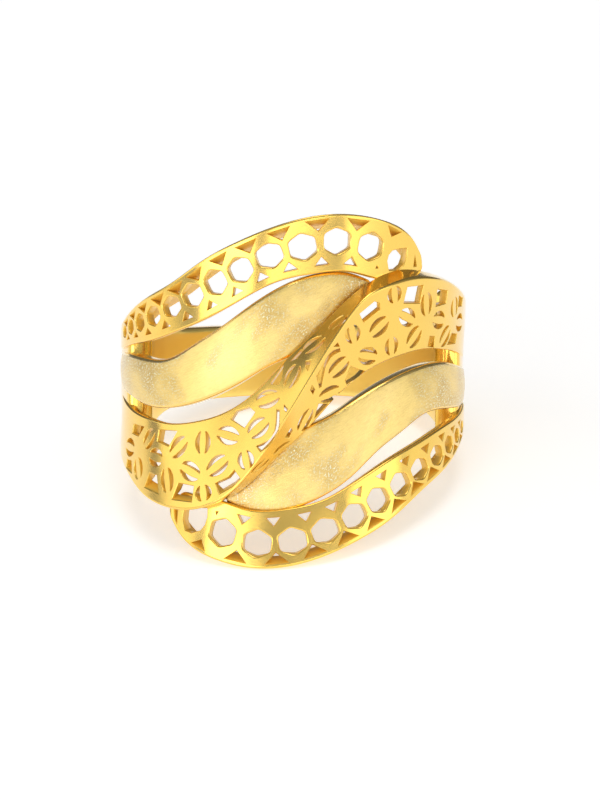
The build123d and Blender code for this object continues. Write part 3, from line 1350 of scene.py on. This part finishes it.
@dataclass
class FlowerBand:
    """The folded middle band, pierced with six-petalled flowers.

    Its sheet is drawn thinner than the CAD model's.
    """

    wall: float = 0.7 * SIZES.flower_wall
    chart_radius: float = 11.3
    fold_round: float = 0.2
    petal: Petal = Petal()
    petal_rounding: float = 0.035
    window_rounding: float = 0.045
    rows: tuple[int, int] = (24, 24)

    def strip(self) -> FoldedStrip:
        """The band's sections.

        Returns:
            The folded strip from left to right.
        """
        edge = [corner_at(row.edge_sink, row.edge) for row in FLOWER_FOLDS]
        crest = [
            (SIZES.shank_radius + row.crest_rise * SIZES.crest_rise, row.crest * SIZES.face_half)
            for row in FLOWER_FOLDS
        ]
        foot = [(radius, -height) for radius, height in reversed(edge)]
        angles = [row.angle for row in FLOWER_FOLDS]
        sections = (np.array(foot), np.array(crest), np.array(edge))
        return FoldedStrip(
            angles, *sections, self.wall, self.wall, self.chart_radius, self.fold_round, self.rows
        )

    def spots(self) -> list[Spot]:
        """Every petal of both panels.

        Returns:
            One spot for each petal.
        """
        spots = []
        for place in LEFT_PETALS + RIGHT_PETALS:
            way_x, way_y = place.x1 - place.x0, place.y1 - place.y0
            x, y = (place.x0 + place.x1) / 2, (place.y0 + place.y1) / 2
            length = math.hypot(way_x, way_y) / self.petal.length
            spots.append(Spot(x, y, math.atan2(way_y, way_x), length, place.breadth))
        return spots

    def build(self, piercing: Piercing, finishes: Finishes) -> bpy.types.Object:
        """The finished band.

        Args:
            piercing: the tree that cuts openings.
            finishes: the ring's materials.

        Returns:
            The band's object.
        """
        strip = self.strip()
        slots = [self.petal.slot(side) for side in (1, -1)]
        windows = [anticlockwise(np.array(window)) for window in FLOWER_WINDOWS]
        petal = OpeningShape(slots, self.wall, self.petal_rounding).mesh("petal")
        window = OpeningShape(windows, self.wall, self.window_rounding).mesh("flower_windows")
        mesh = piercing.cut(strip.plate("flower_plate"), self.spots(), petal, window, finishes.polished)
        strip.wrap(mesh, Side.UPPER)
        mesh.name = "flower_band"
        return hand_over(link("flower_band", mesh))


@dataclass(frozen=True)
class EdgeTriangle:
    """The small opening between two cells and an edge of the ribbon.

    The foot and height are its sizes between cells that lie full_pitch apart, and the
    border is the metal that it leaves along the edge.
    """

    foot: float
    height: float
    border: float
    full_pitch: float = 1.95

    def outline(self, middle: Array, curve: Array, pitch: float) -> Array:
        """Its outline beside one edge.

        Args:
            middle: the point halfway between two cells.
            curve: points along the edge.
            pitch: the distance between the two cells.

        Returns:
            The anticlockwise outline, its foot along the edge and its tip inwards.
        """
        nearest = int(np.argmin(np.linalg.norm(curve - middle, axis=1)))
        nearest = min(max(nearest, 1), len(curve) - 2)
        foot = curve[nearest]
        along = unit((curve[nearest + 1] - curve[nearest - 1])[None])[0]
        inward = unit((middle - foot)[None])[0]
        size = min(1.0, pitch / self.full_pitch)
        border = self.border * (1 + size) / 2
        base = foot + inward * border
        reach = along * self.foot * size / 2
        corners = np.array([base - reach, base + reach, base + inward * self.height * size])
        turned = np.cross(corners[1] - corners[0], corners[2] - corners[0])
        return corners if turned > 0 else corners[::-1]


class Rim(NamedTuple):
    """How a honeycomb ribbon's rim leans, as a share of the ribbon's width, how far
    off the bore it stops, and how many degrees further the ribbon's tip reaches."""

    lean: float
    ease: float
    end_reach: float


RIMS = {Side.UPPER: Rim(0.22, 0.03, 0.0), Side.LOWER: Rim(0.12, 0.55, 1.3)}


@dataclass
class HoneycombRibbon:
    """An outer ribbon, pierced with six-sided cells and edge triangles.

    Its sheet is drawn thinner than the CAD model's. One more triangle stands beside
    the first cell, tip_offset away and sized for cells tip_pitch apart.
    """

    side: Side
    wall: float = 0.75 * SIZES.honeycomb_wall
    rim_wall: float = 0.28
    rim_depth: float = 0.6
    chart_radius: float = 10.7
    fold_round: float = 0.22
    cell_breadth: float = 0.52
    rounding: float = 0.05
    fillet: float = 0.11
    outer: EdgeTriangle = EdgeTriangle(1.42, 0.64, 0.34)
    inner: EdgeTriangle = EdgeTriangle(0.86, 0.50, 0.46)
    tip_offset: tuple[float, float] = (1.1, -0.15)
    tip_pitch: float = 1.5
    edge_points: int = 900
    rows: tuple[int, int] = (26, 8)

    def strip(self) -> FoldedStrip:
        """The ribbon's sections, with the rim that leans in to the finger.

        Returns:
            The strip, folded where the rim starts.
        """
        rim = RIMS[self.side]
        inside = SIZES.bore_radius + rim.ease
        low = [corner_at(row.low_sink, row.low) for row in HONEYCOMB_STATIONS]
        high = [corner_at(row.high_sink, row.high) for row in HONEYCOMB_STATIONS]
        inner = [
            (min(inside, top[0] - self.rim_depth), top[1] - rim.lean * (top[1] - foot[1]))
            for foot, top in zip(low, high)
        ]
        last = HONEYCOMB_STATIONS[-1].angle
        angles = [row.angle + rim.end_reach * max(0.0, row.angle / last) ** 4 for row in HONEYCOMB_STATIONS]
        sections = (np.array(low), np.array(high), np.array(inner))
        return FoldedStrip(
            angles, *sections, self.wall, self.rim_wall, self.chart_radius, self.fold_round, self.rows
        )

    def openings(self, strip: FoldedStrip) -> tuple[list[Spot], list[Array]]:
        """The cells' spots and the outlines of what doesn't repeat.

        Args:
            strip: the ribbon's sections.

        Returns:
            The spots of the cells, and the edge triangles and end openings.
        """
        x = np.linspace(strip.x_of(strip.first), strip.x_of(strip.last), self.edge_points)
        fold, below, _ = strip.spans(x)
        edges = np.column_stack([x, fold]), np.column_stack([x, fold - below])
        cells = HONEYCOMB_CELLS[self.side]
        places = np.array([strip.x_of(cell.angle) for cell in cells])
        shares = np.array([cell.share for cell in cells])
        struts = np.array([cell.strut for cell in cells])
        fold, below, _ = strip.spans(places)
        centres = np.column_stack([places, fold - (1 - shares) * below])
        steps = centres[:-1] - centres[1:]
        ways = unit(np.vstack([steps[:1], steps[:-1] + steps[1:], steps[-1:]]))
        pitches = np.linalg.norm(steps, axis=1)
        around = np.concatenate([pitches[:1], (pitches[:-1] + pitches[1:]) / 2, pitches[-1:]])
        breadths = self.cell_breadth * below * ways[:, 0] - 2 * self.rounding
        spots = [
            Spot(*centre, math.atan2(way[1], way[0]), length, breadth)
            for centre, way, length, breadth in zip(centres, ways, around - struts, breadths)
        ]
        middles = (centres[:-1] + centres[1:]) / 2
        outlines = [np.array(opening) for opening in END_OPENINGS[self.side]]
        outlines += [
            triangle.outline(middle, edge, pitch)
            for middle, pitch in zip(middles, pitches)
            for triangle, edge in zip((self.outer, self.inner), edges)
        ]
        tip = self.outer.outline(centres[0] + self.tip_offset, edges[0], self.tip_pitch)
        return spots, [anticlockwise(outline) for outline in outlines + [tip]]

    def build(self, piercing: Piercing, finishes: Finishes) -> bpy.types.Object:
        """The finished ribbon.

        Args:
            piercing: the tree that cuts openings.
            finishes: the ring's materials.

        Returns:
            The ribbon's object.
        """
        strip = self.strip()
        spots, outlines = self.openings(strip)
        cell = OpeningShape([filleted(hexagon(), self.fillet)], self.wall, self.rounding).mesh("cell")
        others = OpeningShape(outlines, self.wall, self.rounding).mesh("triangles")
        name = f"honeycomb_{self.side.name.lower()}"
        mesh = piercing.cut(strip.plate(name), spots, cell, others, finishes.polished)
        strip.wrap(mesh, self.side)
        mesh.name = name
        return hand_over(link(name, mesh))


class SolidStrip:
    """A solid strip round the finger, crowned and rounded along its edges.

    A rounding takes LARGEST_CORNER of a section's width or wall at most. A face looks
    at the finger when its direction, set against the way out, is under FACES_FINGER.
    """

    CORNER_STEPS = 4
    LARGEST_CORNER = 0.45
    FACES_FINGER = -0.7

    def __init__(
        self, angles: Array, low: Array, high: Array, wall: Array, crown: float, corner: float
    ) -> None:
        """Keeps the strip's sections.

        Args:
            angles: the sections' places, in degrees.
            low: radius and height of each section's outer lower corner.
            high: the same for the upper corner.
            wall: each section's thickness.
            crown: how far the outside rises at its middle.
            corner: the radius of the rounded edges.
        """
        self.angles, self.low, self.high, self.wall = angles, low, high, wall
        self.crown = crown
        self.corner = corner

    def outline(self, width: float, wall: float, across: int) -> Array:
        """One section as (along, depth) points, anticlockwise seen from the left.

        Args:
            width: the section's width.
            wall: its thickness.
            across: how many points each broad side has.

        Returns:
            The closed outline.
        """
        corner = min(self.corner, self.LARGEST_CORNER * wall, self.LARGEST_CORNER * width)
        run = np.linspace(corner, width - corner, across)
        turn = np.radians(np.linspace(90, 0, self.CORNER_STEPS + 1))[1:]
        arc = np.column_stack([np.cos(turn), np.sin(turn) - 1]) * corner
        top = np.column_stack([run, np.zeros_like(run)])
        right = arc + (width - corner, 0)
        right_back = (arc * (1, -1))[::-1] + (width - corner, -wall)
        bottom = np.column_stack([run[::-1], np.full_like(run, -wall)])
        left_back = arc * (-1, -1) + (corner, -wall)
        left = (arc * (-1, 1))[::-1] + (corner, 0)
        line = np.vstack([top, right, right_back, bottom, left_back, left])
        bulge = 1 - (2 * line[:, 0] / width - 1) ** 2
        line[:, 1] += self.crown * bulge * np.clip(1 + line[:, 1] / wall, 0, 1)
        return line

    def mesh(self, name: str, across: int, side: Side) -> bpy.types.Mesh:
        """The strip's mesh, with a UV map along it and its distance from the edges.

        Args:
            name: the mesh's name.
            across: how many points each broad side has.
            side: whether it is the drawn strip or its half turn.

        Returns:
            The mesh, in place.
        """
        points, along, border = [], [], []
        for angle, low, high, wall in zip(self.angles, self.low, self.high, self.wall):
            way = (high - low) / np.linalg.norm(high - low)
            out = np.array([way[1], -way[0]])
            width = float(np.linalg.norm(high - low))
            line = self.outline(width, float(wall), across)
            place = low + line[:, :1] * way + line[:, 1:] * out
            points.append(on_ring(np.full(len(line), angle), place[:, 0], place[:, 1]))
            around = np.full(len(line), SIZES.shank_radius * math.radians(angle))
            along.append(np.column_stack([around, line[:, 0] - width / 2 + line[:, 1]]))
            rim = np.minimum(line[:, 0], width - line[:, 0])
            border.append(np.where(line[:, 1] < -self.corner / 2, 0, rim))
        cloud = np.vstack(points)
        if side is Side.LOWER:
            cloud = half_turned(cloud)
        faces = tube_faces(len(points), len(points[0]))
        mesh = mesh_of(name, RESTING.lay(cloud), faces)
        corners = read(mesh.loops, "vertex_index", kind=int)
        chart = mesh.uv_layers.new(name="ribbon")
        chart.data.foreach_set("uv", np.vstack(along)[corners].ravel())
        mark(mesh, "border", np.concatenate(border))
        return mesh

    @classmethod
    def line_inside(cls, mesh: bpy.types.Mesh) -> None:
        """Gives the faces that look at the finger the mesh's second material, a paler gold that is painted
        light on the shaded inside.

        Args:
            mesh: the mesh, in place.
        """
        axis = np.array(RESTING.matrix.to_3x3().col[2])
        middle = np.array(RESTING.matrix.translation)
        for face in mesh.polygons:
            out = np.array(face.center) - middle
            out -= axis * out.dot(axis)
            face.material_index = int(out.dot(face.normal) < cls.FACES_FINGER * np.linalg.norm(out))


@dataclass
class SatinRibbon:
    """A satin ribbon, crowned across, with thin polished edges.

    The lower ribbon's edge beside the honeycomb lies further out by the overlap, a
    share of the face's half height, past the angle overlap_from.
    """

    side: Side
    wall: float = SIZES.satin_wall
    overlap: float = 0.022
    overlap_from: float = -20.0
    crown: float = 0.12
    corner: float = 0.2
    columns: int = 260
    across: int = 24

    def build(self, finishes: Finishes) -> bpy.types.Object:
        """The finished ribbon.

        Args:
            finishes: the ring's materials.

        Returns:
            The ribbon's object.
        """
        overlap = self.overlap if self.side is Side.LOWER else 0.0
        highs = [row.high + overlap * (row.angle > self.overlap_from) for row in SATIN_STATIONS]
        rows = [
            corner_at(row.low_sink, row.low) + corner_at(row.high_sink, high)
            for row, high in zip(SATIN_STATIONS, highs)
        ]
        table = SmoothTable([row.angle for row in SATIN_STATIONS], np.array(rows))
        angles = np.linspace(SATIN_STATIONS[0].angle, SATIN_STATIONS[-1].angle, self.columns)
        row = table(angles)
        wall = np.full(len(angles), self.wall)
        strip = SolidStrip(angles, row[:, :2], row[:, 2:], wall, self.crown, self.corner)
        name = f"satin_{self.side.name.lower()}"
        mesh = strip.mesh(name, self.across, self.side)
        mesh.materials.append(finishes.satin)
        return hand_over(link(name, mesh))


@dataclass
class Shank:
    """The plain band round the back, widening into the two shoulders.

    The ease is taken off its half width, and its ends are rounded over end_round
    degrees.
    """

    crown: float = 0.2
    corner: float = 0.34
    ease: float = 0.15
    columns: int = 240
    across: int = 30
    end_round: float = 3.0

    def build(self, finishes: Finishes) -> bpy.types.Object:
        """The finished shank.

        Args:
            finishes: the ring's materials.

        Returns:
            The shank's object.
        """
        half = SIZES.shank_width / 2 - self.ease
        reach = SIZES.face_half - half
        rows = [(row.angle, -half - row.foot * reach, half + row.top * reach, row.drop) for row in SHOULDERS]
        rows += [(-360 - a, -high, -low, drop) for a, low, high, drop in reversed(rows[:-1])]
        rows.sort()
        table = SmoothTable([row[0] for row in rows], np.array(rows)[:, 1:])
        first, last = rows[0][0], rows[-1][0]
        angles = np.linspace(first, last, self.columns)
        row = table(angles)
        to_end = np.minimum(angles - first, last - angles) / self.end_round
        tuck = self.corner * (1 - np.sqrt(1 - np.clip(1 - to_end, 0, 1) ** 2))
        outside = SIZES.shank_radius - self.crown - row[:, 2] * SIZES.shank_thickness - tuck
        low = np.column_stack([outside, row[:, 0] + tuck])
        high = np.column_stack([outside, row[:, 1] - tuck])
        wall = outside - SIZES.bore_radius
        strip = SolidStrip(angles, low, high, wall, self.crown, self.corner)
        mesh = strip.mesh("shank", self.across, Side.UPPER)
        mesh.materials.append(finishes.polished)
        # The second material is a paler gold: painted light on the ring's shaded inside.
        mesh.materials.append(finishes.lining)
        strip.line_inside(mesh)
        return hand_over(link("shank", mesh))


class Lamp(NamedTuple):
    """A soft lamp: its direction as the camera sees the ring, its distance and size in
    metres, and how bright its face is beside a white wall."""

    name: str
    azimuth: float
    elevation: float
    distance: float
    width: float
    height: float
    glow: float


STUDIO_LAMPS = (
    Lamp("top", 0, 68, 0.70, 0.36, 0.36, 3.0),
    Lamp("key", -40, -5, 0.62, 0.42, 0.18, 3.1),
    Lamp("left", -84, 16, 0.75, 0.60, 0.42, 1.05),
    Lamp("front", 8, -8, 0.64, 0.46, 0.09, 2.6),
    Lamp("right", 52, -1, 0.65, 0.44, 0.24, 1.4),
)


@dataclass
class Studio:
    """A pale floor lit from below, soft lamps and the camera at the photograph's angle.

    The floor and room_* values are in metres and shares of white, and the camera's
    places are in the upright ring's millimetres: face_depth is how far the face lies
    before the finger's axis, and aim_* the point of the face in the picture's middle.
    """

    floor_half: float = 0.6
    floor_color: Color = (0.93, 0.93, 0.93, 1.0)
    floor_light: Color = (1.0, 1.0, 1.0, 1.0)
    floor_roughness: float = 0.7
    floor_glow: float = 0.45
    room_bright: float = 0.62
    room_dim: float = 0.18
    room_front: float = -0.75
    room_back: float = 0.55
    distance: float = 270.0
    lift: float = 6.0
    swing: float = -2.3
    face_depth: float = 10.5
    aim_right: float = 0.48
    aim_up: float = -0.49
    lens: float = 202.5
    sensor: float = 36.0
    nearest: float = 0.01

    def floor(self) -> bpy.types.Object:
        """The plain pale floor under the ring.

        Returns:
            The floor's object.
        """
        reach = self.floor_half
        corners = np.array([(-reach, -reach, 0), (reach, -reach, 0), (reach, reach, 0), (-reach, reach, 0)])
        mesh = mesh_of("floor", corners, [(0, 1, 2, 3)])
        material, wires = Wiring.of_material("pale floor")
        wires.surface(
            Base_Color=self.floor_color,
            Roughness=self.floor_roughness,
            Emission_Color=self.floor_light,
            Emission_Strength=self.floor_glow,
        )
        mesh.materials.append(material)
        thing = link("floor", mesh)
        return thing

    def lamp(self, spec: Lamp) -> bpy.types.Object:
        """A soft lamp that looks at the ring.

        Args:
            spec: where it stands, its size and how bright its face is.

        Returns:
            The lamp.
        """
        light = bpy.data.lights.new(spec.name, "AREA")
        light.shape = "RECTANGLE"
        light.size, light.size_y = spec.width, spec.height
        light.energy = math.pi * spec.width * spec.height * spec.glow
        thing = link(spec.name, light)
        turn, rise = math.radians(spec.azimuth), math.radians(spec.elevation)
        way = Vector((math.sin(turn) * math.cos(rise), -math.cos(turn) * math.cos(rise), math.sin(rise)))
        way = RESTING.matrix.to_3x3() @ self.facing().to_3x3() @ way
        thing.location = way * spec.distance
        thing.rotation_euler = way.to_track_quat("Z", "Y").to_euler()
        log.info("%s lamp stands %.2f m above the floor", spec.name, thing.location.z)
        return thing

    def facing(self) -> Matrix:
        """The slight turn of the upright ring against the camera."""
        return Matrix.Rotation(math.radians(self.swing), 4, "Z")

    def world(self) -> None:
        """The soft white room, brighter before the ring than behind it."""
        world = bpy.data.worlds.new("studio")
        bpy.context.scene.world = world
        world.use_nodes = True
        wires = Wiring(world.node_tree)
        way = wires.add("ShaderNodeTexCoord").outputs["Generated"]
        depth = wires.add("ShaderNodeSeparateXYZ", in_0=way).outputs["Y"]
        glow = wires.add(
            "ShaderNodeMapRange",
            interpolation_type="SMOOTHSTEP",
            Value=depth,
            From_Min=self.room_back,
            From_Max=self.room_front,
            To_Min=self.room_dim,
            To_Max=self.room_bright,
        )
        background = wires.add("ShaderNodeBackground", Strength=glow.outputs["Result"])
        wires.add("ShaderNodeOutputWorld", Surface=background.outputs[0])

    def camera(self) -> bpy.types.Object:
        """The camera, placed against the upright ring and laid down with it.

        Returns:
            The camera's object.
        """
        lift = math.radians(self.lift)
        look = Vector((0, math.cos(lift), -math.sin(lift)))
        up = Vector((0, math.sin(lift), math.cos(lift)))
        right = look.cross(up)
        aim = Vector((0, -self.face_depth, 0)) + right * self.aim_right + up * self.aim_up
        eye = (aim - look * self.distance) * MM
        upright = Matrix((right, up, -look)).transposed().to_4x4()
        upright.translation = eye
        data = bpy.data.cameras.new("camera")
        data.lens = self.lens
        data.sensor_width = self.sensor
        data.clip_start = self.nearest
        thing = link("camera", data)
        thing.matrix_world = RESTING.matrix @ self.facing() @ upright
        bpy.context.scene.camera = thing
        return thing

    def build(self) -> None:
        """Sets the whole stage."""
        self.floor()
        self.world()
        for spec in STUDIO_LAMPS:
            self.lamp(spec)
        self.camera()
        bpy.context.scene.view_settings.view_transform = "Standard"


def main() -> None:
    """Builds the ring's pieces in order and reports each."""
    logging.basicConfig(level=logging.INFO, format="%(name)s: %(message)s")
    wear = MetalWear()
    finishes = Finishes(PolishedGold().build(wear), PAINTED_LIGHT_INSIDE_GOLD.build(wear), SatinGold().build())
    piercing = Piercing()
    pieces = [
        Shank().build(finishes),
        FlowerBand().build(piercing, finishes),
        *(HoneycombRibbon(side).build(piercing, finishes) for side in Side),
        *(SatinRibbon(side).build(finishes) for side in Side),
    ]
    for piece in pieces:
        piece.data.calc_loop_triangles()
        log.info("%s: %d triangles", piece.name, len(piece.data.loop_triangles))
    Studio().build()


if __name__ == "__main__":
    main()
